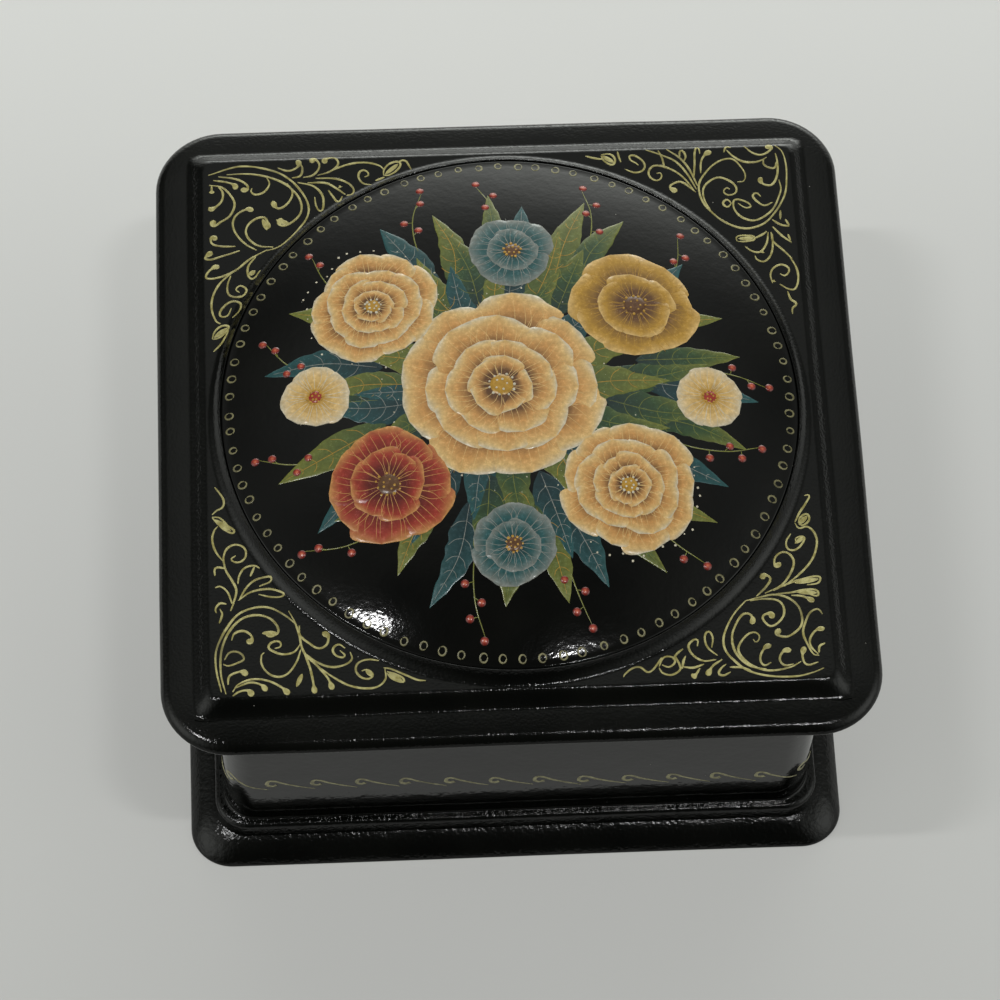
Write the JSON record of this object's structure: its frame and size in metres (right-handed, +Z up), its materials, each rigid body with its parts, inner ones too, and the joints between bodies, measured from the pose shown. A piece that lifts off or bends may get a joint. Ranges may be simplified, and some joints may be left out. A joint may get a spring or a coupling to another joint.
{
  "type": "jewelry box",
  "caption": "Square black lacquer box with a flared plinth and a hinged, overhanging lid that carries a raised panel and a round painted dome. Holds small jewelry.",
  "frame": {"origin": "middle of the face that the box stands on", "axes": "+Z up; front of the box towards -Y, hinge at the back towards +Y, +X to the right"},
  "size_m": [0.082, 0.082, 0.0459],
  "materials": {
    "black_lacquer": "gloss",
    "red_lacquer": "gloss",
    "painted_medallion": "gloss",
    "gold_paint": "satin",
    "coloured_paint": "gloss",
    "brass": "satin",
    "steel": "satin"
  },
  "bodies": {
    "base": {"wall_frame": "black_lacquer", "floor_board": "red_lacquer", "plinth_moulding": "black_lacquer", "hinge_body_leaf": "brass", "hinge_pin": "steel", "body_nail_1": "brass", "body_nail_2": "brass", "body_nail_3": "brass", "body_nail_4": "brass"},
    "lid": {"lid_board": "black_lacquer", "lid_panel": "black_lacquer", "dome_medallion": "painted_medallion", "lip_front": "red_lacquer", "lip_right": "red_lacquer", "lip_back": "red_lacquer", "lip_left": "red_lacquer", "hinge_lid_leaf": "brass", "lid_nail_1": "brass", "lid_nail_2": "brass", "lid_nail_3": "brass", "lid_nail_4": "brass"}
  },
  "joints": [
    {"name": "lid_hinge", "type": "hinge", "parent": "base", "child": "lid", "pos_m": [0, 0.0356, 0.0355], "axis": [-1, 0, 0], "range_deg": [0, 102]}
  ]
}
